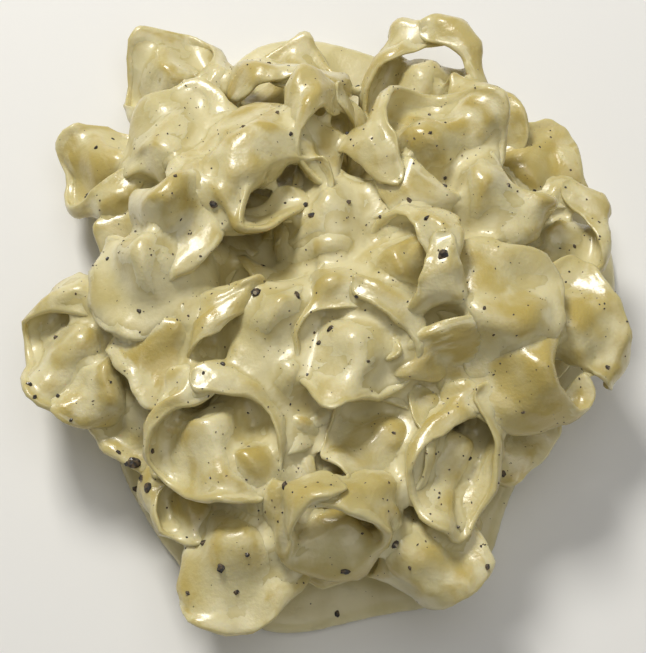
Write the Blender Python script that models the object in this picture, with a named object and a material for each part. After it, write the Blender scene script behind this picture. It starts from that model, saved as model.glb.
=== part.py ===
"""A heap of tortellini in cream sauce, lying in its own pool of sauce.

Two closed solids are built, in metres with +Z up: the flat-bottomed pool of cream sauce, and the heap of
folded pasta that stands on it.  Every tortellino is folded from one round of dough by the same function, and
the heap is their outer form, drawn together round a mound of sauce.
"""

import math
import random
from dataclasses import dataclass
from enum import Enum

import bmesh
import bpy
from mathutils import Euler, Matrix, Vector

# ------------------------------------------------------------------------------------------ driving dimensions
MM = 0.001

POOL_DEPTH = 6.0 * MM         # level of the sauce above the ground
POOL_EDGE = 4.0 * MM          # rounding of the pool's rim
POOL_POINTS = 96              # points round the rim
POOL_EDGE_STEPS = 5           # rings in the rounded rim
POOL_REACHES = (84.0, 95.0, 97.0, 99.0, 99.0, 104.0, 86.0, 86.0, 72.0, 76.0, 70.0, 72.0, 80.0, 87.0, 83.0,
                84.0, 72.0, 72.0)   # reach of the pool, in millimetres, every 20 degrees from +X

NODE_GAP = 0.3 * MM           # clear air between the two solids

EDGE_HEIGHT = 13.0 * MM       # how high the middle of a piece lies at the edge of the heap
CROWN_RISE = 30.0 * MM        # how much higher it lies at the crown
DOME_RADIUS = 88.0 * MM
DOME_POWER = 2.2
CORE_RADIUS = 60.0 * MM       # the mound of sauce and pasta below the pieces that show
CORE_BELOW = 7.0 * MM         # how far that mound stays below the middle of the pieces
CORE_RINGS = 14
CORE_POINTS = 48
DOUGH_THICKNESS = 3.2 * MM    # dough together with the sauce that clings to both of its faces
PIVOT_ALONG_BRIM = 0.42       # where in a folded piece lies the point that is put in its place:
PIVOT_UP_RING = 0.5           # a share of the brim's reach, and a share of the ring's height
TIP_TURN = math.radians(196.0)   # how far round its ring each tip of the dough goes
TIP_LAP = 0.14                # how much wider one tip runs than the middle, so that it passes over the other
ROLL_SHARE = 0.98             # half of the dough's length, as a share of its ring's width and height together

VOXEL = 1.5 * MM              # grain at which the pieces are drawn together
HEAP_TRIANGLES = 8200         # facets left in the heap

FILLER_RINGS = ((12, 58.0, -12.0), (7, 40.0, -10.0), (4, 20.0, -8.0))
#              rings of pieces below the ones that show: count, radius, lift over the dome
FILLER_PITCH = 8.0            # degrees


class Fold(Enum):
    """The ways in which a round of dough is folded: (ring width, ring height, brim, closure of the ring)."""

    HAT = (26.0, 12.0, 32.0, 1.0)
    WIDE = (29.0, 12.0, 33.0, 1.0)
    RING = (22.0, 13.0, 23.0, 1.0)
    KNOT = (22.0, 14.0, 24.0, 1.0)
    ROSE = (21.0, 18.0, 27.0, 1.0)
    FLAP = (30.0, 12.0, 30.0, 0.6)
    TONGUE = (21.0, 11.0, 38.0, 0.85)
    BOAT = (20.0, 14.0, 33.0, 1.0)
    SHELL = (26.0, 12.0, 29.0, 1.0)


@dataclass(frozen=True)
class Place:
    """Where one tortellino lies: millimetres, then degrees.  Its brim points to -Y when yaw is zero."""

    x: float
    y: float
    lift: float
    yaw: float
    pitch: float
    roll: float
    fold: Fold
    size: float = 1.0


H, W, R, F, S, B = Fold.HAT, Fold.WIDE, Fold.RING, Fold.FLAP, Fold.SHELL, Fold.BOAT

PLACES = (
    # crown of the heap
    Place(-29, -37, 6, 6, -12, 2, H, 1.2),
    Place(9, -15, 7, -14, -14, 4, H, 1.18),
    Place(31, 47, 12, 125, -8, 0, W, 1.3),
    Place(-21, 40, 6, -135, -28, 172, W, 1.28),
    Place(20, 8, 8, -85, 8, 0, H, 1.1),
    Place(48, 0, 5, 125, 5, 172, S, 1.25),
    Place(-12, -8, -2, 15, 5, 180, S),
    Place(-10, -26, -5, -35, 5, 172, S, 0.9),
    Place(5, 25, -5, 60, 0, 175, S, 1.05),
    Place(19, 28, -7, -30, 0, 95, S, 0.9),
    # left
    Place(-39, 23, 8, 20, 12, 172, Fold.KNOT, 1.25),
    Place(-47, 5, 4, 5, 8, 178, S, 1.18),
    Place(-27, -5, 1, 0, 25, 80, B, 0.85),
    Place(-42, -13, -2, 0, 10, 185, F, 0.95),
    Place(-70, -9, 2, -32, -8, 3, W, 1.15),
    Place(-63, -20, -2, -84, 0, 172, Fold.TONGUE, 0.8),
    Place(-64, 52, 2, -135, 4, 5, W, 1.05),
    # back
    Place(-47, 83, 2, -145, 2, 4, W, 1.1),
    Place(-9, 82, 4, 172, 32, 3, H, 1.15),
    Place(2, 50, 5, 5, -10, 70, H, 1.1),
    Place(31, 78, 5, -10, -6, -5, H, 1.2),
    Place(44, 63, 3, 60, 0, 160, S, 0.9),
    # right
    Place(61, 51, -1, 150, 5, 180, F, 0.95),
    Place(46, 29, 3, -50, -10, 165, S, 1.05),
    Place(69, 27, 3, -25, -12, -10, H, 0.95),
    Place(70, -1, 2, 160, 5, 190, F, 1.05),
    Place(54, -20, 5, -80, 0, 188, Fold.TONGUE, 1.12),
    Place(31, -5, 3, 135, -10, 40, B, 1.2),
    # front
    Place(36, -43, 6, -18, -12, 28, B, 1.2),
    Place(18, -36, 2, -45, -16, 0, H, 0.95),
    Place(1, -55, 5, 185, 60, 0, Fold.ROSE, 1.3),
    Place(27, -66, 1, 75, 8, 178, S, 0.95),
    Place(-22, -71, 2, 5, 8, 180, S, 1.2),
    Place(-15, -47, -1, 60, 5, 175, S, 0.85),
    Place(-42, 54, 1, 160, 5, 178, S, 1.1),
    Place(-38, -52, -1, 30, -30, 5, R, 0.95),
)


# ------------------------------------------------------------------------------------------------------ helpers
def clear_scene():
    """Remove every object that the new scene starts with."""
    for item in list(bpy.data.objects):
        bpy.data.objects.remove(item, do_unlink=True)


def food_material(name, colour, roughness, coat):
    """Make a plain Principled material.

    Args: its name, its linear colour, its roughness and the weight of its wet coat.
    Returns: the material.
    """
    material = bpy.data.materials.new(name)
    material.use_nodes = True
    shader = material.node_tree.nodes["Principled BSDF"]
    shader.inputs["Base Color"].default_value = (*colour, 1.0)
    shader.inputs["Roughness"].default_value = roughness
    shader.inputs["Coat Weight"].default_value = coat
    return material


def link_mesh(name, form):
    """Turn a bmesh into an object of the scene and free the bmesh."""
    mesh = bpy.data.meshes.new(name)
    form.to_mesh(mesh)
    form.free()
    item = bpy.data.objects.new(name, mesh)
    bpy.context.scene.collection.objects.link(item)
    return item


def smooth_step(value):
    """Ease a value from 0 to 1, flat at both ends."""
    value = min(1.0, max(0.0, value))
    return value * value * (3.0 - 2.0 * value)


def apply_modifier(item, kind, **settings):
    """Add one modifier to an object, with its settings, and apply it."""
    modifier = item.modifiers.new(kind.lower(), kind)
    for key, value in settings.items():
        setattr(modifier, key, value)
    with bpy.context.temp_override(object=item, active_object=item, selected_objects=[item]):
        bpy.ops.object.modifier_apply(modifier=modifier.name)


# -------------------------------------------------------------------------------------------- one tortellino
def dough_round(half_length, brim, thickness):
    """Form the flat dough before it is rolled round, with the filling as a swelling near the fold.

    Args: half of its length along X, how far its brim reaches along Y, and its thickness.
    Returns: a bmesh, its tips at the two ends of X.
    """
    fold_reach = 5.0 * MM
    band_reach = 11.0 * MM
    brim_spread = 20.0 * MM
    belly_place = 7.0 * MM
    belly_spread = 11.0 * MM
    belly_height = 7.0 * MM
    dish_rise = 3.5 * MM
    form = bmesh.new()
    bmesh.ops.create_uvsphere(form, u_segments=18, v_segments=22, radius=1.0)
    bmesh.ops.rotate(form, verts=form.verts, cent=(0, 0, 0), matrix=Matrix.Rotation(math.pi / 2, 3, "Y"))
    for vert in form.verts:
        along, across, lift = vert.co
        near_middle = smooth_step(1.0 - abs(along) * half_length / brim_spread)
        reach = band_reach + (brim - band_reach) * near_middle if across > 0.0 else fold_reach
        x = along * half_length
        y = across * reach
        belly = smooth_step(1.0 - math.hypot(x, y - belly_place) / belly_spread)
        z = lift * (thickness / 2.0 + (belly_height - thickness / 2.0) * belly)
        z -= dish_rise * smooth_step(across * reach / brim)
        vert.co = (x, y, z)
    return form


def ring_point(turn, width, height):
    """Find a point of the flat oval that the dough is rolled round.

    Args: the angle from the bottom of the ring, the ring's width and its height.
    Returns: the point in X and Z, and the outward direction there.
    """
    x = math.sin(turn) * width / 2.0
    z = (1.0 - math.cos(turn)) * height / 2.0
    outward = Vector((math.sin(turn) / width, 0.0, -math.cos(turn) / height)).normalized()
    return Vector((x, 0.0, z)), outward


def roll_round(form, half_length, width, height, closure):
    """Roll the flat dough round its ring, so that its tips meet above the filling.

    Args: the dough, half of its length, the ring's width and height, and how far the ring is closed.
    """
    tip_turn = TIP_TURN * closure
    for vert in form.verts:
        share = vert.co.x / half_length
        point, outward = ring_point(share * tip_turn, width, height)
        lap = 1.0 + TIP_LAP * share
        place = Vector((point.x * lap, -vert.co.y, point.z * lap))
        vert.co = place + outward * vert.co.z


def dome(radius):
    """Give the height of the middle of a piece that lies this far from the heap's axis."""
    return EDGE_HEIGHT + CROWN_RISE * (1.0 - min(1.0, radius / DOME_RADIUS) ** DOME_POWER)


def tortellino(name, place, seed):
    """Fold one tortellino and put it in its place in the heap.

    Args: its name, its Place, and the seed of its unevenness.
    Returns: the new object.
    """
    width, height, brim, closure = (value * MM if index < 3 else value
                                    for index, value in enumerate(place.fold.value))
    half_length = (width + height) * ROLL_SHARE
    form = dough_round(half_length, brim, DOUGH_THICKNESS)
    roll_round(form, half_length, width, height, closure)
    uneven = random.Random(seed)
    squash = Vector((uneven.uniform(0.94, 1.06), uneven.uniform(0.94, 1.06), uneven.uniform(0.95, 1.05)))
    turn = Euler([math.radians(angle) for angle in (place.pitch, place.roll, place.yaw)], "XYZ")
    pivot = Vector((0.0, -PIVOT_ALONG_BRIM * brim, PIVOT_UP_RING * height))
    level = dome(math.hypot(place.x, place.y) * MM) + place.lift * MM
    move = Matrix.Translation((place.x * MM, place.y * MM, level)) @ turn.to_matrix().to_4x4()
    move = move @ Matrix.Diagonal((*(squash * place.size), 1.0)) @ Matrix.Translation(-pivot)
    bmesh.ops.transform(form, matrix=move, verts=form.verts)
    bmesh.ops.recalc_face_normals(form, faces=form.faces)
    return link_mesh(name, form)


def filler_places():
    """Work out the rings of pieces below the ones that show, so that the heap is full all round.

    Returns: a list of Place.
    """
    places = []
    for count, radius, lift in FILLER_RINGS:
        for step in range(count):
            turn = math.tau * step / count
            places.append(Place(radius * math.cos(turn), radius * math.sin(turn), lift,
                                math.degrees(turn) + 90.0, FILLER_PITCH, 180.0 * (step % 2), S))
    return places


# --------------------------------------------------------------------------------------------------- the nodes
def pool_reach(turn):
    """Give the radius of the pool of sauce in one direction, drawn smoothly through the named reaches."""
    count = len(POOL_REACHES)
    place = turn / math.tau * count
    first = math.floor(place)
    share = place - first
    before, start, end, after = (POOL_REACHES[(first + step) % count] for step in (-1, 0, 1, 2))
    slope_in = (end - before) / 2.0
    slope_out = (after - start) / 2.0
    cubic = 2.0 * (start - end) + slope_in + slope_out
    square = 3.0 * (end - start) - 2.0 * slope_in - slope_out
    return (start + share * (slope_in + share * (square + share * cubic))) * MM


def build_pool():
    """Build the pool of cream sauce: lobed outline, flat below, rim rounded over to the level top.

    Returns: the object.
    """
    turns = [math.tau * step / POOL_POINTS for step in range(POOL_POINTS)]
    levels = [(0.6 * POOL_EDGE, 0.0)]
    for step in range(POOL_EDGE_STEPS + 1):
        lean = math.pi / 2.0 * step / POOL_EDGE_STEPS
        levels.append((POOL_EDGE * (1.0 - math.cos(lean)), POOL_DEPTH - POOL_EDGE * (1.0 - math.sin(lean))))
    form = bmesh.new()
    rings = []
    for inset, z in levels:
        ring = []
        for turn in turns:
            reach = pool_reach(turn) - inset
            ring.append(form.verts.new((reach * math.cos(turn), reach * math.sin(turn), z)))
        rings.append(ring)
    for lower, upper in zip(rings, rings[1:]):
        for index in range(POOL_POINTS):
            after = (index + 1) % POOL_POINTS
            form.faces.new((lower[index], lower[after], upper[after], upper[index]))
    form.faces.new(list(reversed(rings[0])))
    form.faces.new(rings[-1])
    bmesh.ops.recalc_face_normals(form, faces=form.faces)
    return link_mesh("cream_sauce_pool", form)


def build_core():
    """Build the mound below the pieces, which follows the heap's dome down to the level of the sauce."""
    form = bmesh.new()
    top = form.verts.new((0.0, 0.0, dome(0.0) - CORE_BELOW))
    rings = []
    for step in range(1, CORE_RINGS + 2):
        radius = CORE_RADIUS * min(1.0, step / CORE_RINGS)
        level = dome(radius) - CORE_BELOW if step <= CORE_RINGS else POOL_DEPTH / 2.0
        ring = []
        for point in range(CORE_POINTS):
            turn = math.tau * point / CORE_POINTS
            ring.append(form.verts.new((radius * math.cos(turn), radius * math.sin(turn), level)))
        rings.append(ring)
    for index in range(CORE_POINTS):
        after = (index + 1) % CORE_POINTS
        form.faces.new((top, rings[0][index], rings[0][after]))
        for inner, outer in zip(rings, rings[1:]):
            form.faces.new((inner[index], outer[index], outer[after], inner[after]))
    form.faces.new(list(reversed(rings[-1])))
    return link_mesh("core", form)


def keep_largest_shell(form):
    """Delete every loose shell of a bmesh but the one with the most vertices."""
    left = set(form.verts)
    shells = []
    while left:
        front = [left.pop()]
        shell = set(front)
        while front:
            vert = front.pop()
            for edge in vert.link_edges:
                other = edge.other_vert(vert)
                if other not in shell:
                    shell.add(other)
                    left.discard(other)
                    front.append(other)
        shells.append(shell)
    largest = max(shells, key=len)
    bmesh.ops.delete(form, geom=[vert for vert in form.verts if vert not in largest], context="VERTS")


def cut_flat_below(form, level):
    """Cut a closed bmesh at one height, drop what is below and close the cut with flat faces."""
    geometry = form.verts[:] + form.edges[:] + form.faces[:]
    bmesh.ops.bisect_plane(form, geom=geometry, plane_co=(0, 0, level), plane_no=(0, 0, 1), clear_inner=True)
    rim = [edge for edge in form.edges if edge.is_boundary]
    bmesh.ops.triangle_fill(form, use_beauty=True, edges=rim, normal=(0, 0, -1))


def build_heap():
    """Build the heap: every tortellino and the core drawn together into one skin, flat below.

    Returns: the object.
    """
    pieces = [tortellino(f"piece_{number}", place, number)
              for number, place in enumerate(list(PLACES) + filler_places())]
    pieces.append(build_core())
    form = bmesh.new()
    for piece in pieces:
        form.from_mesh(piece.data)
        bpy.data.objects.remove(piece, do_unlink=True)
    heap = link_mesh("tortellini_heap", form)
    apply_modifier(heap, "REMESH", mode="VOXEL", voxel_size=VOXEL)
    apply_modifier(heap, "SMOOTH", factor=0.5, iterations=3)
    form = bmesh.new()
    form.from_mesh(heap.data)
    keep_largest_shell(form)
    form.to_mesh(heap.data)
    form.free()
    triangles = sum(len(face.vertices) - 2 for face in heap.data.polygons)
    apply_modifier(heap, "DECIMATE", ratio=HEAP_TRIANGLES / triangles, use_collapse_triangulate=True)
    form = bmesh.new()
    form.from_mesh(heap.data)
    cut_flat_below(form, POOL_DEPTH + NODE_GAP)
    keep_largest_shell(form)
    bmesh.ops.recalc_face_normals(form, faces=form.faces)
    form.to_mesh(heap.data)
    form.free()
    return heap


def centre_on_origin(items):
    """Move the solids together so that the middle of their box is over the origin."""
    corners = [vert.co for item in items for vert in item.data.vertices]
    middle_x = (min(co.x for co in corners) + max(co.x for co in corners)) / 2.0
    middle_y = (min(co.y for co in corners) + max(co.y for co in corners)) / 2.0
    for item in items:
        item.data.transform(Matrix.Translation((-middle_x, -middle_y, 0.0)))


def build():
    """Build both solids, give each its material and centre them."""
    clear_scene()
    pool = build_pool()
    heap = build_heap()
    pool.data.materials.append(food_material("cream_sauce", (0.68, 0.62, 0.42), 0.3, 0.5))
    heap.data.materials.append(food_material("egg_pasta", (0.64, 0.55, 0.29), 0.35, 0.4))
    for item in (pool, heap):
        for face in item.data.polygons:
            face.use_smooth = True
    centre_on_origin((pool, heap))


build()
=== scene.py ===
"""A heap of tortellini in cream sauce: folded pasta, the sauce that runs through it, and cracked pepper.

Each tortellino is folded from its own round of dough, the sauce is drawn round all of them as one soft skin
that fills the creases, and the pepper is dropped on what lies open from above.
"""

import logging
import math
import random
from dataclasses import dataclass, field
from enum import Enum
from typing import Callable, Iterable, Optional, Sequence, Union

import bpy
from mathutils import Euler, Matrix, Vector, noise
from mathutils.bvhtree import BVHTree


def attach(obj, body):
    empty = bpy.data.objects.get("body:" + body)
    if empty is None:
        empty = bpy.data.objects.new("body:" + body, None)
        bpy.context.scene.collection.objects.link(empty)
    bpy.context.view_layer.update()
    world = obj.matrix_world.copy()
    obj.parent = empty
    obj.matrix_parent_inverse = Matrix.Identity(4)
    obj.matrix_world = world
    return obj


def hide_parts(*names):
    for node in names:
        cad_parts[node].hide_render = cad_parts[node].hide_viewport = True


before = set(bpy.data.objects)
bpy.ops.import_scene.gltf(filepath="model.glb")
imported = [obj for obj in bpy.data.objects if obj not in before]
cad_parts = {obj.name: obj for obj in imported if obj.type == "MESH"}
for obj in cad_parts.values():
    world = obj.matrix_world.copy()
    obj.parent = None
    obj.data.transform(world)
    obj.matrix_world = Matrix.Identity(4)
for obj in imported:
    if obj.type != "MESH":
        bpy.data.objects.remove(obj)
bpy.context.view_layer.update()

logging.basicConfig(level=logging.INFO, format="%(message)s")
LOG = logging.getLogger("tortellini")

MM = 0.001
HEAP_NODE = "tortellini_heap"
POOL_NODE = "cream_sauce_pool"
MIDDLE = (3.5, 7.7)          # of the heap's box, in the millimetres that the places below are given in


# ----------------------------------------------------------------------------------------------- shader tools
Number = Union[int, float]
Colour = tuple[float, float, float]


class Wire:
    """A shader socket that can be used in arithmetic; each sum or product adds a Math node."""

    def __init__(self, graph: "Graph", socket: bpy.types.NodeSocket) -> None:
        """Wrap a socket.

        Args:
            graph: the graph that the socket belongs to.
            socket: the output socket.
        """
        self.graph = graph
        self.socket = socket

    def _math(self, operation: str, first: "Wire | Number", second: "Wire | Number") -> "Wire":
        """Add one Math node.

        Args:
            operation: the node's operation.
            first: the first value.
            second: the second value.

        Returns:
            The node's result.
        """
        return self.graph.node("ShaderNodeMath", {"operation": operation}, {0: first, 1: second})

    def __add__(self, other: "Wire | Number") -> "Wire":
        """Give self + other."""
        return self._math("ADD", self, other)

    def __radd__(self, other: Number) -> "Wire":
        """Give other + self."""
        return self._math("ADD", other, self)

    def __sub__(self, other: "Wire | Number") -> "Wire":
        """Give self - other."""
        return self._math("SUBTRACT", self, other)

    def __rsub__(self, other: Number) -> "Wire":
        """Give other - self."""
        return self._math("SUBTRACT", other, self)

    def __mul__(self, other: "Wire | Number") -> "Wire":
        """Give self * other."""
        return self._math("MULTIPLY", self, other)

    def __rmul__(self, other: Number) -> "Wire":
        """Give other * self."""
        return self._math("MULTIPLY", other, self)

    def between(self, low: float, high: float) -> "Wire":
        """Ease from 0 at low to 1 at high.

        Args:
            low: the value that becomes 0.
            high: the value that becomes 1.

        Returns:
            The eased value.
        """
        return self.graph.node("ShaderNodeMapRange", {"interpolation_type": "SMOOTHSTEP"},
                               {"Value": self, "From Min": low, "From Max": high})


class Graph:
    """A material's node tree, with one method for any node."""

    def __init__(self, name: str) -> None:
        """Start a material that holds only its output and a Principled shader.

        Args:
            name: the material's name.
        """
        self.material = bpy.data.materials.new(name)
        self.material.use_nodes = True
        self.tree = self.material.node_tree
        self.shader = self.tree.nodes["Principled BSDF"]
        self.place = self.node("ShaderNodeTexCoord", {}, {}, "Object")

    def node(self, kind: str, settings: dict, sockets: dict, output: Union[str, int] = 0) -> Wire:
        """Add a node, set it up and connect it.

        Args:
            kind: the node's type.
            settings: properties of the node, which are set first.
            sockets: values or wires, by input name or number.
            output: the output to give back.

        Returns:
            The chosen output.
        """
        made = self.tree.nodes.new(kind)
        for key, value in settings.items():
            setattr(made, key, value)
        for key, value in sockets.items():
            if isinstance(value, Wire):
                self.tree.links.new(value.socket, made.inputs[key])
            else:
                made.inputs[key].default_value = value
        return Wire(self, made.outputs[output])

    def noise(self, scale: float, detail: float = 2.0, distortion: float = 0.0) -> Wire:
        """Give soft noise on the object's own coordinates.

        Args:
            scale: waves in a metre.
            detail: how many finer layers it has.
            distortion: how much it is pulled about.

        Returns:
            A value about 0.5.
        """
        return self.node("ShaderNodeTexNoise", {}, {"Vector": self.place, "Scale": scale, "Detail": detail,
                                                    "Distortion": distortion}, "Fac")

    def specks(self, scale: float, radius: float, share: float) -> Wire:
        """Give small round specks strewn through space.

        Args:
            scale: cells in a metre.
            radius: a speck's radius as a share of a cell.
            share: how many of the cells hold one.

        Returns:
            1 inside a speck and 0 outside it.
        """
        cells = {"feature": "F1", "distance": "EUCLIDEAN"}
        sockets = {"Vector": self.place, "Scale": scale}
        distance = self.node("ShaderNodeTexVoronoi", cells, sockets, "Distance")
        chance = self.node("ShaderNodeTexVoronoi", cells, sockets, "Color")
        pick = self.node("ShaderNodeSeparateColor", {}, {"Color": chance}, "Red")
        return (1.0 - distance.between(radius * 0.8, radius)) * (1.0 - pick.between(share, share + 0.01))

    def attribute(self, name: str) -> Wire:
        """Read a value that is stored on the mesh's own points."""
        return self.node("ShaderNodeAttribute", {"attribute_name": name}, {}, "Fac")

    def mix(self, share: "Wire | Number", first: "Wire | Colour", second: "Wire | Colour") -> Wire:
        """Mix two colours.

        Args:
            share: how much of the second there is.
            first: the first colour.
            second: the second colour.

        Returns:
            The mixed colour.
        """
        made = self.tree.nodes.new("ShaderNodeMix")
        made.data_type = "RGBA"
        for socket, value in ((made.inputs[0], share), (made.inputs[6], first), (made.inputs[7], second)):
            if isinstance(value, Wire):
                self.tree.links.new(value.socket, socket)
            elif isinstance(value, tuple):
                socket.default_value = (*value, 1.0)
            else:
                socket.default_value = value
        return Wire(self, made.outputs[2])

    def bump(self, height: Wire, strength: float, distance: float) -> Wire:
        """Turn a height into a bumpy normal.

        Args:
            height: the height, 0 to 1.
            strength: how much of it shows.
            distance: the height of 1, in metres.

        Returns:
            The normal.
        """
        return self.node("ShaderNodeBump", {}, {"Height": height, "Strength": strength, "Distance": distance})

    def feed(self, **sockets: "Wire | Number | Colour") -> None:
        """Set or connect the shader's sockets; spaces in their names are written as underscores.

        Args:
            sockets: values or wires by socket name.
        """
        for key, value in sockets.items():
            socket = self.shader.inputs[key.replace("_", " ")]
            if isinstance(value, Wire):
                self.tree.links.new(value.socket, socket)
            elif isinstance(value, tuple):
                socket.default_value = (*value, 1.0) if len(socket.default_value) == 4 else value
            else:
                socket.default_value = value


# --------------------------------------------------------------------------------------------------- finishes
@dataclass(frozen=True)
class CreamFinish:
    """Thick cooked cream: pale, glossy, a little cloudy, with ground pepper all through it."""

    pale: Colour = (0.72, 0.655, 0.39)
    warm: Colour = (0.62, 0.55, 0.28)
    grey: Colour = (0.56, 0.51, 0.28)
    veil: Colour = (0.53, 0.44, 0.17)
    pepper: Colour = (0.06, 0.05, 0.035)
    cloud_scale: float = 55.0
    streak_scale: float = 150.0
    speck_scale: float = 420.0

    def colour(self, graph: Graph) -> Wire:
        """Add the nodes of the cream's colour.

        Args:
            graph: the material's graph.

        Returns:
            The colour.
        """
        cloud = graph.noise(self.cloud_scale, 3.0, 0.6)
        streak = graph.noise(self.streak_scale, 3.0, 0.4)
        base = graph.mix(cloud.between(0.42, 0.68), self.pale, self.warm)
        base = graph.mix(streak.between(0.52, 0.75) * 0.6, base, self.grey)
        fine = graph.specks(self.speck_scale, 0.11, 0.10)
        return graph.mix(fine * 0.85, base, self.pepper)

    def make(self) -> bpy.types.Material:
        """Make the material."""
        graph = Graph("cream_sauce")
        thin = graph.attribute("thin") + (graph.noise(105.0, 3.0, 0.4) - 0.5) * 1.6
        gloss = graph.noise(90.0, 2.0).between(0.35, 0.7)
        height = graph.noise(260.0, 3.0) * 0.7 + graph.noise(900.0, 2.0) * 0.3
        colour = graph.mix(thin.between(0.35, 1.0) * 0.7, self.colour(graph), self.veil)
        graph.feed(Base_Color=colour, Roughness=0.34 + gloss * 0.16, Coat_Weight=0.45,
                   Coat_Roughness=0.18, Subsurface_Weight=0.25, Subsurface_Radius=(1.0, 0.8, 0.45),
                   Subsurface_Scale=0.0025, Normal=graph.bump(height, 0.5, 0.0006))
        return graph.material


@dataclass(frozen=True)
class PastaFinish:
    """Cooked egg pasta: yellow where it is bare, cream where the sauce clings, paler at its thin rim."""

    cream: CreamFinish = CreamFinish()
    yolk: Colour = (0.52, 0.41, 0.125)
    straw: Colour = (0.555, 0.465, 0.19)
    rim: Colour = (0.60, 0.535, 0.27)

    def make(self) -> bpy.types.Material:
        """Make the material."""
        graph = Graph("egg_pasta")
        cloud = graph.noise(75.0, 3.0, 0.5)
        bare = graph.attribute("bare") + (graph.noise(105.0, 3.0, 0.4) - 0.40) * 1.9
        dough = graph.mix(cloud.between(0.38, 0.66), self.yolk, self.straw)
        dough = graph.mix(graph.attribute("rim").between(0.15, 0.95) * 0.75, dough, self.rim)
        colour = graph.mix(bare.between(0.12, 0.85), self.cream.colour(graph), dough)
        height = graph.noise(320.0, 3.0) * 0.6 + graph.noise(1100.0, 2.0) * 0.4
        graph.feed(Base_Color=colour, Roughness=0.26 + cloud.between(0.3, 0.7) * 0.16, Coat_Weight=0.5,
                   Coat_Roughness=0.16, Subsurface_Weight=0.25, Subsurface_Radius=(1.0, 0.75, 0.3),
                   Subsurface_Scale=0.0025, Normal=graph.bump(height, 0.55, 0.0006))
        return graph.material


@dataclass(frozen=True)
class PepperFinish:
    """Cracked black pepper: near-black husk with brown and pale broken faces."""

    husk: Colour = (0.022, 0.018, 0.016)
    brown: Colour = (0.11, 0.075, 0.04)
    kernel: Colour = (0.42, 0.36, 0.24)

    def make(self) -> bpy.types.Material:
        """Make the material."""
        graph = Graph("cracked_pepper")
        patch = graph.noise(900.0, 2.0)
        base = graph.mix(patch.between(0.45, 0.62), self.husk, self.brown)
        base = graph.mix(graph.noise(520.0, 1.0).between(0.64, 0.70) * 0.8, base, self.kernel)
        height = graph.noise(2400.0, 2.0)
        graph.feed(Base_Color=base, Roughness=0.4 + patch * 0.3, Coat_Weight=0.25,
                   Normal=graph.bump(height, 0.7, 0.0003))
        return graph.material


@dataclass(frozen=True)
class FloorFinish:
    """A plain pale studio floor."""

    pale: Colour = (0.86, 0.86, 0.855)

    def make(self) -> bpy.types.Material:
        """Make the material."""
        graph = Graph("studio_floor")
        tone = graph.noise(6.0, 2.0)
        darker = tuple(part * 0.985 for part in self.pale)
        graph.feed(Base_Color=graph.mix(tone, self.pale, darker), Roughness=0.7)
        return graph.material


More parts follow.
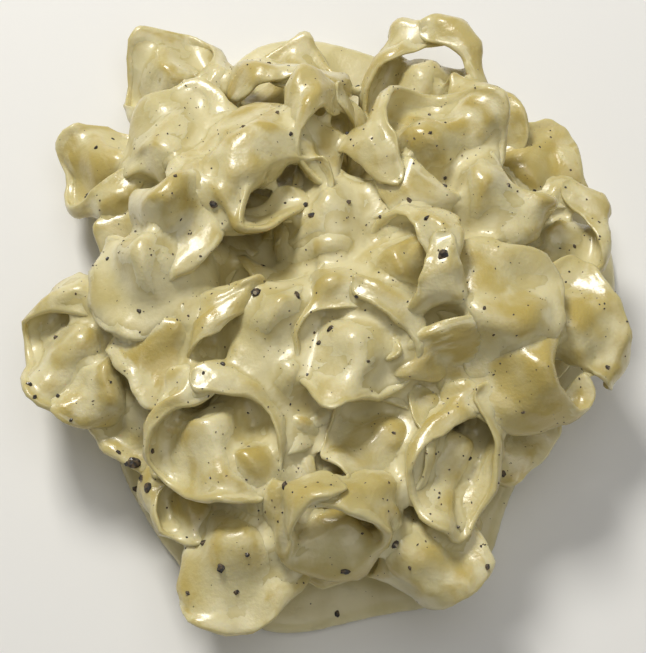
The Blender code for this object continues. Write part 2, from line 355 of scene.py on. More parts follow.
# ------------------------------------------------------------------------------------------------- mesh tools
class Bench:
    """The workbench: selecting, dragging and finishing one object at a time."""

    @staticmethod
    def take(item: bpy.types.Object) -> None:
        """Select one object alone and make it active.

        Args:
            item: the object.
        """
        if bpy.context.mode != "OBJECT":
            bpy.ops.object.mode_set(mode="OBJECT")
        bpy.ops.object.select_all(action="DESELECT")
        item.select_set(True)
        bpy.context.view_layer.objects.active = item

    @staticmethod
    def clear() -> None:
        """Leave edit mode and select nothing."""
        if bpy.context.mode != "OBJECT":
            bpy.ops.object.mode_set(mode="OBJECT")
        bpy.ops.object.select_all(action="DESELECT")

    @classmethod
    def select(cls, item: bpy.types.Object, rule: Callable[[Vector], bool]) -> None:
        """Select the points that a rule names, and stay in edit mode.

        Args:
            item: the object.
            rule: says of a point's place, in metres, whether it is selected.
        """
        cls.take(item)
        bpy.ops.object.mode_set(mode="EDIT")
        bpy.ops.mesh.select_mode(type="VERT")
        bpy.ops.mesh.select_all(action="DESELECT")
        bpy.ops.object.mode_set(mode="OBJECT")
        for point in item.data.vertices:
            point.select = rule(point.co)
        bpy.ops.object.mode_set(mode="EDIT")

    @classmethod
    def drag(cls, item: bpy.types.Object, rule: Callable[[Vector], bool], move: Sequence[float],
             reach: float, falloff: str = "SMOOTH") -> None:
        """Drag points by hand, with those around them following.

        Args:
            item: the object.
            rule: says which points are held.
            move: the way they go, in millimetres.
            reach: how far off others follow, in millimetres.
            falloff: how the following fades.
        """
        cls.select(item, rule)
        bpy.ops.transform.translate(value=[step * MM for step in move], use_proportional_edit=True,
                                    proportional_edit_falloff=falloff, proportional_size=reach * MM)
        bpy.ops.object.mode_set(mode="OBJECT")

    @classmethod
    def swell(cls, item: bpy.types.Object, rule: Callable[[Vector], bool], scale: Sequence[float],
              middle: Sequence[float], reach: Optional[float] = None) -> None:
        """Scale points about a place, with those around them following.

        Args:
            item: the object.
            rule: says which points are held.
            scale: the factors along X, Y and Z.
            middle: the place that stays, in millimetres.
            reach: how far off others follow, in millimetres, or None for none.
        """
        cls.select(item, rule)
        centre = [part * MM for part in middle]
        if reach is None:
            bpy.ops.transform.resize(value=scale, center_override=centre)
        else:
            bpy.ops.transform.resize(value=scale, center_override=centre, use_proportional_edit=True,
                                     proportional_edit_falloff="SMOOTH", proportional_size=reach * MM)
        bpy.ops.object.mode_set(mode="OBJECT")

    @classmethod
    def modify(cls, item: bpy.types.Object, kind: str, **settings: object) -> None:
        """Add a modifier and apply it.

        Args:
            item: the object.
            kind: the modifier's type.
            settings: its properties.
        """
        cls.take(item)
        modifier = item.modifiers.new(kind.lower(), kind)
        for key, value in settings.items():
            setattr(modifier, key, value)
        bpy.ops.object.modifier_apply(modifier=modifier.name)

    @classmethod
    def soften(cls, item: bpy.types.Object, rounds: int) -> None:
        """Smooth an object's surface a number of rounds over."""
        cls.modify(item, "SMOOTH", factor=0.5, iterations=rounds)

    @classmethod
    def wrinkle(cls, item: bpy.types.Object, size: float, strength: float, seed: float) -> None:
        """Push an object's points about with soft noise, the two faces of a sheet together.

        Args:
            item: the object.
            size: the size of the wrinkles, in millimetres.
            strength: how far points go, in millimetres.
            seed: which part of the noise is used.
        """
        cloud = bpy.data.textures.new("wrinkle", "CLOUDS")
        cloud.cloud_type = "COLOR"
        cloud.noise_scale = size * MM
        cloud.noise_depth = 1
        item.location = (0.371 * seed, 0.113 * seed, 0.217 * seed)
        bpy.context.view_layer.update()
        cls.modify(item, "DISPLACE", texture=cloud, texture_coords="GLOBAL", direction="RGB_TO_XYZ",
                   strength=strength * 2.0 * MM, mid_level=0.5)
        item.location = (0.0, 0.0, 0.0)
        bpy.data.textures.remove(cloud)

    @classmethod
    def copy_of(cls, items: Iterable[bpy.types.Object], name: str) -> bpy.types.Object:
        """Join copies of some objects into one.

        Args:
            items: the objects.
            name: the new object's name.

        Returns:
            The joined copy.
        """
        copies = []
        for item in items:
            copy = bpy.data.objects.new(name, item.data.copy())
            bpy.context.scene.collection.objects.link(copy)
            copies.append(copy)
        cls.clear()
        for copy in copies:
            copy.select_set(True)
        bpy.context.view_layer.objects.active = copies[0]
        bpy.ops.object.join()
        copies[0].name = name
        return copies[0]

    @staticmethod
    def store(item: bpy.types.Object, name: str, values: Sequence[float]) -> None:
        """Store one number on each point of a mesh.

        Args:
            item: the object.
            name: the attribute's name.
            values: the numbers, in the points' order.
        """
        layer = item.data.attributes.get(name) or item.data.attributes.new(name, "FLOAT", "POINT")
        layer.data.foreach_set("value", values)

    @staticmethod
    def tree(items: Iterable[bpy.types.Object]) -> BVHTree:
        """Make one search tree of several meshes.

        Args:
            items: the objects, whose places are in their meshes.

        Returns:
            The tree.
        """
        points: list[Vector] = []
        faces: list[list[int]] = []
        for item in items:
            first = len(points)
            points.extend(point.co for point in item.data.vertices)
            faces.extend([first + index for index in face.vertices] for face in item.data.polygons)
        return BVHTree.FromPolygons(points, faces)


def ease(value: float) -> float:
    """Ease a value from 0 to 1, flat at both ends."""
    value = min(1.0, max(0.0, value))
    return value * value * (3.0 - 2.0 * value)


# ------------------------------------------------------------------------------------------------ the pasta
@dataclass(frozen=True)
class FoldShape:
    """The measures of one way of folding, in millimetres."""

    width: float              # across the ring that the dough is rolled into
    height: float             # of that ring
    brim: float               # from the filling's line to the brim's edge
    band: float               # reach of the dough at the ring's arms
    closure: float            # 1 when the tips meet, 0 when the dough is left flat
    flare: float              # how far the arms lean open
    dish: float               # how far the brim bends up
    lip: float                # how far its edge curls up
    belly: float = 7.5        # half height of the filling
    belly_line: float = 9.0   # where the filling lies
    belly_spread: float = 11.5
    wave: float = 2.4         # unevenness


class Fold(Enum):
    """The ways in which the rounds of dough are folded."""

    HAT = FoldShape(25.5, 12.0, 32.0, 9.0, 1.0, 0.45, 6.0, 3.5, 9.0, 10.5, 10.0)
    WIDE = FoldShape(28.0, 12.0, 33.0, 9.5, 1.0, 0.50, 6.0, 3.5, 9.0, 11.0, 11.0)
    RING = FoldShape(21.0, 13.0, 22.0, 8.5, 1.0, 0.25, 3.0, 2.0, 8.5, 8.5, 9.0)
    FLAP = FoldShape(29.0, 12.0, 30.0, 11.0, 0.6, 0.3, 1.5, 0.5, 9.0, 9.0, 11.0)
    ROSE = FoldShape(20.0, 18.0, 27.0, 8.5, 1.0, 0.6, 3.0, 2.5, 10.5, 5.0, 9.0, 3.2)
    TONGUE = FoldShape(20.0, 11.0, 38.0, 9.0, 0.85, 0.2, 2.0, 0.5, 9.0, 9.0, 11.0)
    BOAT = FoldShape(18.0, 15.0, 33.0, 9.0, 1.0, 0.3, 5.0, 2.5, 8.5, 9.0, 10.0)
    SHELL = FoldShape(25.0, 12.0, 29.0, 11.0, 1.0, 0.3, 3.0, 1.5, 10.5, 9.5, 9.5, 3.2)
    KNOT = FoldShape(21.0, 14.0, 24.0, 8.5, 1.0, 0.2, 4.0, 2.0, 10.5, 8.5, 8.0, 3.2)


@dataclass(frozen=True)
class Place:
    """Where one tortellino lies, in millimetres and degrees; its brim points to -Y when yaw is zero."""

    x: float
    y: float
    lift: float               # over the heap's dome
    yaw: float
    pitch: float              # minus lifts the brim and turns the opening to the viewer
    roll: float               # 180 turns the filled back up
    fold: Fold
    size: float = 1.0
    bare: float = 0.0         # how much of it the sauce leaves bare, from -1 to 1


@dataclass
class Tortellino:
    """One folded piece of filled pasta."""

    name: str
    place: Place
    level: float              # height of its middle, in millimetres
    seed: int
    thickness: float = 1.8
    edge_round: float = 0.5   # radius of the dough's edge
    clear_of_ground: float = 0.4
    creases: tuple[tuple[float, float, float], ...] = ((8.0, 1.1, 0.3), (4.0, 0.3, 0.5))
    #        finer wrinkles: size, depth, and a shift to another part of the noise
    fold_reach: float = 4.5
    lap: float = 4.0
    gap: float = 2.4
    segments: int = 26
    rings: int = 38
    pivot_share: tuple[float, float] = (0.42, 0.5)   # of the brim's reach and of the ring's height

    def __post_init__(self) -> None:
        """Settle the seeded unevenness of this piece."""
        self.shape = self.place.fold.value
        self.uneven = random.Random(self.seed)

    def _vary(self, value: float, share: float = 0.08) -> float:
        """Vary a measure by a random share of itself."""
        return value * self.uneven.uniform(1.0 - share, 1.0 + share)

    def _route(self) -> bpy.types.Object:
        """Draw the oval that the dough is rolled round, opened out as far as the closure says.

        Returns:
            The curve.
        """
        half = self._vary(self.shape.width) / 2.0
        top = self._vary(self.shape.height, 0.12)
        oval = ((self.lap, top - self.gap / 2.0), (-half * 0.40, top), (-half * 0.98, top * 0.81),
                (-half * 1.06, top * 0.23), (-half * 0.62, 0.0), (0.0, 0.0), (half * 0.62, 0.0),
                (half * 1.06, top * 0.23), (half * 0.98, top * 0.81), (half * 0.40, top + self.gap * 0.6),
                (-self.lap, top + self.gap))
        leans = (0.9, 1.0, 1.0, 0.8, 0.4, 0.0, 0.4, 0.8, 1.0, 1.0, 1.1)
        run = [0.0]
        for first, second in zip(oval, oval[1:]):
            run.append(run[-1] + math.hypot(second[0] - first[0], second[1] - first[1]))
        data = bpy.data.curves.new(self.name + "_route", "CURVE")
        data.dimensions = "3D"
        data.twist_mode = "MINIMUM"
        data.resolution_u = 24
        line = data.splines.new("NURBS")
        line.points.add(len(oval) - 1)
        closed = self.shape.closure
        for point, (x, z), lean, along in zip(line.points, oval, leans, run):
            flat = along - run[-1] / 2.0
            point.co = ((x * closed + flat * (1.0 - closed)) * MM, 0.0, z * closed * MM, 1.0)
            point.tilt = lean * self.shape.flare
        line.use_endpoint_u = True
        line.order_u = 4
        route = bpy.data.objects.new(data.name, data)
        bpy.context.scene.collection.objects.link(route)
        return route

    def _lay_dough(self, half_length: float) -> bpy.types.Object:
        """Lay the dough flat: a thin oval, short on the folded side, its brim drawn out on the other.

        Args:
            half_length: half of its length, in millimetres.

        Returns:
            The dough.
        """
        band = self.shape.band
        Bench.clear()
        bpy.ops.mesh.primitive_uv_sphere_add(segments=self.segments, ring_count=self.rings, radius=1.0,
                                             rotation=(0.0, math.pi / 2.0, 0.0))
        dough = bpy.context.object
        dough.name = self.name
        dough.scale = (self.thickness / 2.0 * MM, band * MM, half_length * MM)
        bpy.ops.object.transform_apply(location=False, rotation=True, scale=True)
        Bench.swell(dough, lambda co: co.y < -1e-6, (1.0, self.fold_reach / band, 1.0), (0.0, 0.0, 0.0))
        pull = (self.uneven.uniform(-2.5, 2.5), self._vary(self.shape.brim) - band, 0.0)
        Bench.drag(dough, lambda co: co.y > (band - 0.3) * MM and abs(co.x) < 3.0 * MM, pull, 24.0)
        return dough

    def _mark_rim(self, dough: bpy.types.Object) -> None:
        """Store how near each point is to the dough's edge, while it still lies flat.

        Args:
            dough: the flat dough.
        """
        half = self.thickness / 2.0 * MM
        Bench.store(dough, "rim", [1.0 - min(1.0, abs(point.co.z) / half) for point in dough.data.vertices])

    def _fill(self, dough: bpy.types.Object) -> None:
        """Swell the middle over the filling.

        Args:
            dough: the flat dough.
        """
        line = self.shape.belly_line
        rise = self._vary(self.shape.belly) / (self.thickness / 2.0)
        Bench.swell(dough, lambda co: abs(co.x) < 3.0 * MM and abs(co.y - line * MM) < 2.5 * MM,
                    (1.0, 1.0, rise), (0.0, line, 0.0), self.shape.belly_spread)

    def _curl(self, dough: bpy.types.Object) -> None:
        """Bend the brim up and curl its edge.

        Args:
            dough: the flat dough.
        """
        reach = max(point.co.y for point in dough.data.vertices)
        Bench.drag(dough, lambda co: co.y > reach - 3.0 * MM, (0.0, 0.0, -self.shape.dish), 16.0)
        edge: dict[int, float] = {}
        for point in dough.data.vertices:
            key = round(point.co.x / (0.1 * MM))
            edge[key] = max(edge.get(key, 0.0), point.co.y)
        Bench.drag(dough, lambda co: co.y > 2.0 * MM and co.y > edge[round(co.x / (0.1 * MM))] - 0.01 * MM,
                   (0.0, 0.0, -self.shape.lip), 5.0)

    def _roll(self, dough: bpy.types.Object, route: bpy.types.Object, length: float) -> None:
        """Roll the dough round its route so that the tips meet over the filling.

        Args:
            dough: the flat dough.
            route: the curve to follow.
            length: the curve's length, in metres.
        """
        dough.data.transform(Matrix.Translation((length / 2.0, 0.0, 0.0)))
        Bench.modify(dough, "CURVE", object=route, deform_axis="POS_X")
        data = route.data
        bpy.data.objects.remove(route)
        bpy.data.curves.remove(data)

    def build(self) -> bpy.types.Object:
        """Fold the piece and lay it in its place.

        Returns:
            The finished object.
        """
        route = self._route()
        length = route.data.splines[0].calc_length()
        dough = self._lay_dough(length / 2.0 / MM)
        self._mark_rim(dough)
        self._fill(dough)
        self._curl(dough)
        self._roll(dough, route, length)
        Bench.modify(dough, "SUBSURF", levels=1, render_levels=1)
        Bench.modify(dough, "DISPLACE", strength=self.edge_round * MM, mid_level=0.0)
        for size, strength, shift in ((16.0, self.shape.wave, 0.0), *self.creases):
            Bench.wrinkle(dough, size, strength, self.seed + shift)
        place = self.place
        turn = Euler([math.radians(angle) for angle in (place.pitch, place.roll, place.yaw)], "XYZ")
        spot = Vector((place.x - MIDDLE[0], place.y - MIDDLE[1], self.level)) * MM
        move = Matrix.Translation(spot) @ turn.to_matrix().to_4x4()
        pivot = Vector((0.0, -self.pivot_share[0] * self.shape.brim, self.pivot_share[1] * self.shape.height))
        move = move @ Matrix.Scale(place.size, 4) @ Matrix.Translation(-pivot * MM)
        dough.data.transform(move)
        for point in dough.data.vertices:
            point.co.z = max(point.co.z, self.clear_of_ground * MM)
        Bench.take(dough)
        bpy.ops.object.shade_smooth()
        return dough


@dataclass
class Heap:
    """All the tortellini, each in its place, with more of them below to fill the heap's sides."""

    edge_height: float = 13.0
    crown_rise: float = 30.0
    dome_radius: float = 88.0
    dome_power: float = 2.2
    below: tuple[tuple[int, float, float], ...] = ((12, 58.0, -12.0), (7, 40.0, -10.0), (4, 20.0, -8.0))
    pieces: list[bpy.types.Object] = field(default_factory=list)
    places: list[Place] = field(default_factory=list)

    def level(self, x: float, y: float) -> float:
        """Give the height of the heap's dome, in millimetres, over one place."""
        share = min(1.0, math.hypot(x, y) / self.dome_radius)
        return self.edge_height + self.crown_rise * (1.0 - share ** self.dome_power)

    def _places(self) -> list[Place]:
        """List every piece's place: those in view one by one, those below by rings.

        Returns:
            The places.
        """
        places = list(PLACES)
        for count, radius, lift in self.below:
            for step in range(count):
                turn = math.tau * step / count
                places.append(Place(radius * math.cos(turn), radius * math.sin(turn), lift,
                                    math.degrees(turn) + 90.0, 8.0, 180.0 * (step % 2), Fold.SHELL))
        return places

    def build(self, finish: bpy.types.Material) -> None:
        """Fold every piece.

        Args:
            finish: the pasta's material.
        """
        self.places = self._places()
        for number, place in enumerate(self.places):
            level = self.level(place.x, place.y) + place.lift
            piece = Tortellino(f"tortellino_{number + 1:02d}", place, level, number + 1).build()
            piece.data.materials.append(finish)
            self.pieces.append(piece)


H, W, R, F, S, B = Fold.HAT, Fold.WIDE, Fold.RING, Fold.FLAP, Fold.SHELL, Fold.BOAT

PLACES = (
    # crown of the heap
    Place(-29, -37, 6, 6, -12, 2, H, 1.2, 0.1),
    Place(9, -15, 7, -14, -14, 4, H, 1.18),
    Place(31, 47, 12, 125, -8, 0, W, 1.3, 0.2),
    Place(-21, 40, 6, -135, -28, 172, W, 1.28, 0.1),
    Place(20, 8, 8, -85, 8, 0, H, 1.1),
    Place(48, 0, 5, 125, 5, 172, S, 1.25, 0.2),
    Place(-12, -8, -2, 15, 5, 180, S, 1.0, -0.5),
    Place(-10, -26, -5, -35, 5, 172, S, 0.9, -0.1),
    Place(5, 25, -5, 60, 0, 175, S, 1.05, -0.5),
    Place(19, 28, -7, -30, 0, 95, S, 0.9, -0.4),
    # left
    Place(-39, 23, 8, 20, 12, 172, Fold.KNOT, 1.25),
    Place(-47, 5, 4, 5, 8, 178, S, 1.18, -0.6),
    Place(-27, -5, 1, 0, 25, 80, B, 0.85, 0.3),
    Place(-42, -13, -2, 0, 10, 185, F, 0.95, 0.5),
    Place(-70, -9, 2, -32, -8, 3, W, 1.15, -0.1),
    Place(-63, -20, -2, -84, 0, 172, Fold.TONGUE, 0.8, 0.1),
    Place(-64, 52, 2, -135, 4, 5, W, 1.05, 0.3),
    # back
    Place(-47, 83, 2, -145, 2, 4, W, 1.1, -0.1),
    Place(-9, 82, 4, 172, 32, 3, H, 1.15, 0.2),
    Place(2, 50, 5, 5, -10, 70, H, 1.1, 0.2),
    Place(31, 78, 5, -10, -6, -5, H, 1.2, 0.2),
    Place(44, 63, 3, 60, 0, 160, S, 0.9, 0.2),
    # right
    Place(61, 51, -1, 150, 5, 180, F, 0.95, 0.9),
    Place(46, 29, 3, -50, -10, 165, S, 1.05, -0.1),
    Place(69, 27, 3, -25, -12, -10, H, 0.95),
    Place(70, -1, 2, 160, 5, 190, F, 1.05, 0.2),
    Place(54, -20, 5, -80, 0, 188, Fold.TONGUE, 1.12, 0.8),
    Place(31, -5, 3, 135, -10, 40, B, 1.2, 0.4),
    # front
    Place(36, -43, 6, -18, -12, 28, B, 1.2, 0.1),
    Place(18, -36, 2, -45, -16, 0, H, 0.95, 0.2),
    Place(1, -55, 5, 185, 60, 0, Fold.ROSE, 1.3, 0.3),
    Place(27, -66, 1, 75, 8, 178, S, 0.95, 0.1),
    Place(-22, -71, 2, 5, 8, 180, S, 1.2),
    Place(-15, -47, -1, 60, 5, 175, S, 0.85, 0.1),
    Place(-42, 54, 1, 160, 5, 178, S, 1.1, -0.3),
    Place(-38, -52, -1, 30, -30, 5, R, 0.95, 0.3),
)


# -------------------------------------------------------------------------------------------------- the sauce
@dataclass
class CreamSauce:
    """The sauce: a pool, a mound inside the heap, and a soft coat that fills the creases of the pasta."""

    core_radius: float = 60.0
    core_below: float = 9.0        # how far the mound stays below the pieces' middles
    grain: float = 1.45            # of the skin, in millimetres
    closing: float = 0.6           # how wide a crease it fills, in millimetres
    coat: float = -0.35            # mean thickness over the pasta
    coat_swing: float = 1.1        # how much thicker or thinner it gets
    coat_size: float = 17.0        # size of its patches
    veil_depth: float = 0.9        # the pasta's yellow shows through sauce thinner than this
    film_depth: float = 0.35       # pasta this far out of the sauce is still white with it
    stand_share: float = 0.7       # what standing out of the sauce adds to how bare the pasta looks
    bare_share: float = 0.35       # what its own bareness adds
    bare_depth: float = 1.1        # how much thinner the coat is over a bare piece
    bare_reach: float = 4.0        # how far from that piece it thins
    cut_level: float = 1.0         # where the mound is cut off below
    ground_snap: float = 0.8       # skin lower than this lies flat on the ground
    item: Optional[bpy.types.Object] = None

    def _mound(self, heap: Heap) -> bpy.types.Object:
        """Shape the mound that the pieces lie on.

        Args:
            heap: the heap, whose dome it follows.

        Returns:
            The mound.
        """
        Bench.clear()
        bpy.ops.mesh.primitive_uv_sphere_add(segments=48, ring_count=28, radius=1.0)
        mound = bpy.context.object
        height = (heap.edge_height + heap.crown_rise - self.core_below) * MM
        mound.scale = (self.core_radius * MM, self.core_radius * MM, height)
        mound.location = (-MIDDLE[0] * MM, -MIDDLE[1] * MM, 0.0)
        bpy.ops.object.transform_apply(location=True, rotation=False, scale=True)
        Bench.take(mound)
        bpy.ops.object.mode_set(mode="EDIT")
        bpy.ops.mesh.select_all(action="SELECT")
        bpy.ops.mesh.bisect(plane_co=(0.0, 0.0, self.cut_level * MM), plane_no=(0.0, 0.0, 1.0),
                            clear_inner=True, use_fill=True)
        bpy.ops.object.mode_set(mode="OBJECT")
        return mound

    def _pool(self) -> bpy.types.Object:
        """Take the pool's own form, with its loose triangles merged."""
        pool = Bench.copy_of([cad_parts[POOL_NODE]], "pool_form")
        Bench.modify(pool, "WELD", merge_threshold=0.01 * MM)
        return pool

    def _coat(self, skin: bpy.types.Object, heap: Heap) -> None:
        """Make the coat thicker and thinner in soft patches, and thin where a piece is bare.

        Args:
            skin: the sauce.
            heap: the pasta.
        """
        points: list[Vector] = []
        faces: list[list[int]] = []
        owner: list[float] = []
        for piece, place in zip(heap.pieces, heap.places):
            first = len(points)
            points.extend(point.co for point in piece.data.vertices)
            for face in piece.data.polygons:
                faces.append([first + index for index in face.vertices])
                owner.append(place.bare)
        tree = BVHTree.FromPolygons(points, faces)
        mesh = skin.data
        normals = [point.normal.copy() for point in mesh.vertices]
        for point, normal in zip(mesh.vertices, normals):
            patch = noise.noise(point.co / (self.coat_size * MM)) * self.coat_swing
            _, _, index, distance = tree.find_nearest(point.co)
            bare = owner[index] * ease(1.0 - distance / (self.bare_reach * MM))
            point.co += normal * ((self.coat + patch - bare * self.bare_depth) * MM)
            point.co.z = max(point.co.z, 0.0)

    def build(self, heap: Heap, finish: bpy.types.Material) -> None:
        """Draw the sauce round the pasta.

        Args:
            heap: the pasta.
            finish: the sauce's material.
        """
        mound = self._mound(heap)
        pool = self._pool()
        skin = Bench.copy_of([*heap.pieces, mound, pool], "cream_sauce")
        bpy.data.objects.remove(mound)
        bpy.data.objects.remove(pool)
        skin.data.materials.clear()
        Bench.modify(skin, "REMESH", mode="VOXEL", voxel_size=self.grain * MM)
        Bench.modify(skin, "DISPLACE", strength=self.closing * MM, mid_level=0.0)
        Bench.modify(skin, "REMESH", mode="VOXEL", voxel_size=self.grain * MM)
        Bench.soften(skin, 3)
        Bench.modify(skin, "DISPLACE", strength=-self.closing * MM, mid_level=0.0)
        Bench.soften(skin, 3)
        self._coat(skin, heap)
        Bench.soften(skin, 2)
        for point in skin.data.vertices:
            if point.co.z < self.ground_snap * MM:
                point.co.z = 0.0
        skin.data.materials.append(finish)
        Bench.take(skin)
        bpy.ops.object.shade_smooth()
        self.item = skin

    def film(self, heap: Heap) -> None:
        """Store on the pasta how far it stands out of the sauce, and on the sauce how thin it lies.

        Args:
            heap: the pasta.
        """
        tree = Bench.tree([self.item])
        for piece, place in zip(heap.pieces, heap.places):
            values = []
            for point in piece.data.vertices:
                spot, normal, _, distance = tree.find_nearest(point.co)
                outside = (point.co - spot).dot(normal) > 0.0
                stand = (distance / MM - self.film_depth) if outside else 0.0
                values.append(min(1.0, max(0.0, stand)) * self.stand_share + place.bare * self.bare_share)
            Bench.store(piece, "bare", values)
        pasta = Bench.tree(heap.pieces)
        depths = [pasta.find_nearest(point.co)[3] for point in self.item.data.vertices]
        Bench.store(self.item, "thin", [1.0 - min(1.0, depth / (self.veil_depth * MM)) for depth in depths])


# ------------------------------------------------------------------------------------------------- the pepper
@dataclass
class Pepper:
    """Cracked pepper, coarse and fine, dropped on what lies open from above."""

    fine_count: int = 1000
    fine_width: tuple[float, float] = (0.35, 0.75)   # the least, and how much more the widest has
    spread: float = 84.0
    drop_from: float = 120.0
    steepest: float = 0.25    # upward share of a slope's normal below which a crumb slides off
    seed: int = 5

    def _crumb(self, size: Vector, spot: Vector, detail: int, dice: random.Random) -> bpy.types.Object:
        """Break one crumb of pepper and lay it down.

        Args:
            size: its half sizes, in millimetres.
            spot: its place, in metres.
            detail: how finely it is divided.
            dice: the random draws.

        Returns:
            The crumb.
        """
        Bench.clear()
        bpy.ops.mesh.primitive_ico_sphere_add(subdivisions=detail, radius=1.0)
        crumb = bpy.context.object
        for point in crumb.data.vertices:
            point.co *= dice.uniform(0.72, 1.12)
        turn = Euler([dice.uniform(0.0, math.tau) for _ in range(3)]).to_matrix().to_4x4()
        flat = Euler((dice.uniform(-0.4, 0.4), dice.uniform(-0.4, 0.4), dice.uniform(0.0, math.tau)))
        crumb.data.transform(Matrix.Translation(spot) @ flat.to_matrix().to_4x4()
                             @ Matrix.Diagonal((*(size * MM), 1.0)) @ turn)
        return crumb

    def _drop(self, tree: BVHTree, x: float, y: float) -> Optional[Vector]:
        """Find where a crumb lands, or None where it would slide off.

        Args:
            tree: everything that it can land on.
            x: its place across, in millimetres.
            y: its place to the back, in millimetres.

        Returns:
            The place, in metres.
        """
        spot, normal, _, _ = tree.ray_cast(Vector((x, y, self.drop_from)) * MM, Vector((0.0, 0.0, -1.0)))
        if spot is None or normal.z < self.steepest:
            return None
        return spot

    def build(self, tree: BVHTree, finish: bpy.types.Material) -> list[bpy.types.Object]:
        """Strew the pepper.

        Args:
            tree: everything that it can land on.
            finish: the pepper's material.

        Returns:
            The coarse pepper and the fine pepper.
        """
        dice = random.Random(self.seed)
        groups: dict[str, list[bpy.types.Object]] = {"pepper_coarse": [], "pepper_fine": []}
        for x, y, width in COARSE_PEPPER:
            spot = self._drop(tree, x - MIDDLE[0], y - MIDDLE[1])
            if spot is not None:
                size = Vector((width, width * dice.uniform(0.55, 0.9), width * 0.5)) / 2.0
                groups["pepper_coarse"].append(self._crumb(size, spot, 2, dice))
        for _ in range(self.fine_count):
            reach = self.spread * math.sqrt(dice.random())
            turn = dice.uniform(0.0, math.tau)
            width = self.fine_width[0] + self.fine_width[1] * dice.random() ** 2.5
            spot = self._drop(tree, reach * math.cos(turn), reach * math.sin(turn))
            if spot is not None:
                size = Vector((width, width * dice.uniform(0.4, 0.9), width * 0.35)) / 2.0
                groups["pepper_fine"].append(self._crumb(size, spot, 1, dice))
        made = []
        for name, crumbs in groups.items():
            Bench.clear()
            for crumb in crumbs:
                crumb.select_set(True)
            bpy.context.view_layer.objects.active = crumbs[0]
            bpy.ops.object.join()
            item = bpy.context.object
            item.name = name
            item.data.materials.append(finish)
            made.append(item)
        return made


COARSE_PEPPER = (
    # across, to the back, width: millimetres
    (-53, -41, 4.4), (-54, -44, 2.6), (-50, -46, 2.4), (-48, -49, 3.0), (-57, -38, 2.0),
    (-46, -41, 2.0), (-82, -20, 2.2), (-76, -5, 1.8), (-27, -19, 2.0), (-32, -22, 1.4),
    (-27, -72, 3.2), (-32, -65, 2.2), (-23, -78, 1.8), (6, -73, 3.0), (4, -80, 2.2),
    (-10, -53, 2.6), (19, -66, 2.6), (19, -37, 1.4), (50, -44, 2.4), (44, -71, 2.0),
    (79, -16, 1.6), (40, -42, 1.4), (7, 51, 1.6), (35, 39, 1.8), (34, 33, 1.8),
    (24, 28, 2.2), (7, 28, 2.0), (36, 25, 2.4), (28, 19, 2.0), (32, 7, 3.6),
    (16, 24, 1.4), (11, 85, 1.8), (61, 60, 1.6), (-68, 56, 1.8), (-70, 43, 3.0),
    (-64, 62, 1.4), (-17, 69, 1.8), (-16, 78, 1.4), (-13, 54, 1.6), (-22, 47, 1.4),
    (-9, 46, 1.6), (-3, 24, 2.6), (-5, 28, 2.2), (-30, 25, 2.4), (-18, 1, 3.8),
    (-7, -1, 2.6), (-50, -4, 1.8), (-60, 13, 1.4), (-17, 13, 1.6), (-74, -23, 1.6),
    (-80, -24, 1.8), (67, 5, 1.4), (43, -6, 1.6), (73, 23, 1.4), (2, -10, 2.4),
    (9, -2, 1.4), (-1, -13, 2.0), (52, 34, 1.6), (31, 60, 1.4), (-20, -69, 1.6),
    (-36, -78, 1.8), (-44, -68, 1.4), (23, -72, 1.4), (36, -61, 1.4), (54, -31, 1.4),
    (68, -24, 1.6), (30, 48, 1.6), (-40, 30, 1.4), (-52, 20, 1.2), (-70, -30, 1.4),
    (12, -20, 1.2), (62, 40, 1.4),
)


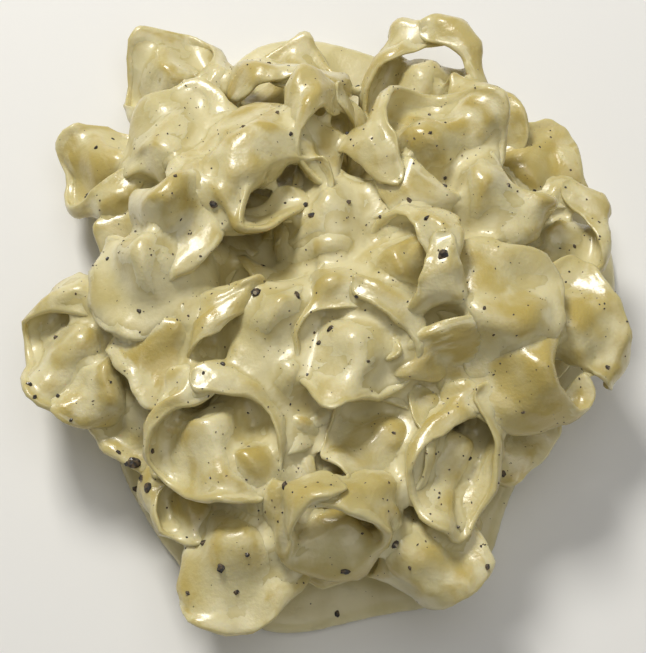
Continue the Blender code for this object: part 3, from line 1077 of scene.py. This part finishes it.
# -------------------------------------------------------------------------------------------------- the stage
@dataclass
class Stage:
    """The pale floor, the soft lights and the camera."""

    floor_size: float = 3.0
    elevation: float = 72.0
    distance: float = 0.445
    lens: float = 85.0
    aim: tuple[float, float, float] = (-MIDDLE[0], -MIDDLE[1], 22.0)

    def _floor(self) -> None:
        """Lay the floor, a broad plane cut into a finer grid."""
        Bench.clear()
        bpy.ops.mesh.primitive_plane_add(size=self.floor_size, location=(0.0, 0.0, -0.0002))
        floor = bpy.context.object
        floor.name = "floor"
        bpy.ops.object.transform_apply(location=True, rotation=False, scale=False)
        bpy.ops.object.mode_set(mode="EDIT")
        bpy.ops.mesh.select_all(action="SELECT")
        bpy.ops.mesh.subdivide(number_cuts=4)
        bpy.ops.object.mode_set(mode="OBJECT")
        floor.data.materials.append(FloorFinish().make())

    def _lamp(self, name: str, place: Sequence[float], size: float, power: float, tint: Colour) -> None:
        """Hang one soft square lamp that looks at the heap.

        Args:
            name: the lamp's name.
            place: where it hangs, in metres.
            size: the side of its square, in metres.
            power: in watts.
            tint: its colour.
        """
        data = bpy.data.lights.new(name, "AREA")
        data.shape = "SQUARE"
        data.size = size
        data.energy = power
        data.color = tint
        lamp = bpy.data.objects.new(name, data)
        lamp.location = place
        lamp.rotation_euler = (Vector((0.0, 0.0, 0.02)) - Vector(place)).to_track_quat("-Z", "Y").to_euler()
        bpy.context.scene.collection.objects.link(lamp)

    def _camera(self) -> None:
        """Set up the camera, looking steeply down from the front."""
        data = bpy.data.cameras.new("camera")
        data.lens = self.lens
        data.sensor_width = 36.0
        data.clip_start = 0.01
        camera = bpy.data.objects.new("camera", data)
        tilt = math.radians(self.elevation)
        aim = Vector(self.aim) * MM
        camera.location = aim + Vector((0.0, -math.cos(tilt), math.sin(tilt))) * self.distance
        camera.rotation_euler = (aim - camera.location).to_track_quat("-Z", "Y").to_euler()
        bpy.context.scene.collection.objects.link(camera)
        bpy.context.scene.camera = camera

    def build(self) -> None:
        """Build the stage."""
        self._floor()
        self._lamp("key", (-0.35, 0.75, 0.95), 0.34, 11.8, (1.0, 0.97, 0.90))
        self._lamp("overhead", (0.2, 0.0, 1.3), 1.0, 3.8, (1.0, 0.985, 0.95))
        self._lamp("fill", (0.7, -0.7, 0.7), 0.9, 1.0, (1.0, 0.98, 0.95))
        world = bpy.data.worlds.new("studio")
        world.use_nodes = True
        background = world.node_tree.nodes["Background"]
        background.inputs["Color"].default_value = (1.0, 0.975, 0.92, 1.0)
        background.inputs["Strength"].default_value = 0.15
        bpy.context.scene.world = world
        bpy.context.scene.view_settings.view_transform = "Standard"
        self._camera()


# ------------------------------------------------------------------------------------------------------- main
def hand_over(pieces: Sequence[bpy.types.Object], node: Optional[str]) -> None:
    """Hand over finished pieces: attach them to the root body, hide the CAD node that they stand for, and log
    their faces.

    Args:
        pieces: the pieces.
        node: the CAD node that they replace, or None.
    """
    for piece in pieces:
        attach(piece, "root")
        if node is not None:
            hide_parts(node)
        LOG.info("%s: %d faces", piece.name, len(piece.data.polygons))


def main() -> None:
    """Build the heap, its sauce, its pepper and the stage."""
    heap = Heap()
    heap.build(PastaFinish().make())
    sauce = CreamSauce()
    sauce.build(heap, CreamFinish().make())
    sauce.film(heap)
    pepper = Pepper().build(Bench.tree([*heap.pieces, sauce.item]), PepperFinish().make())
    hand_over(heap.pieces, HEAP_NODE)
    hand_over([sauce.item], POOL_NODE)
    hand_over(pepper, None)
    Stage().build()


if __name__ == "__main__":
    main()
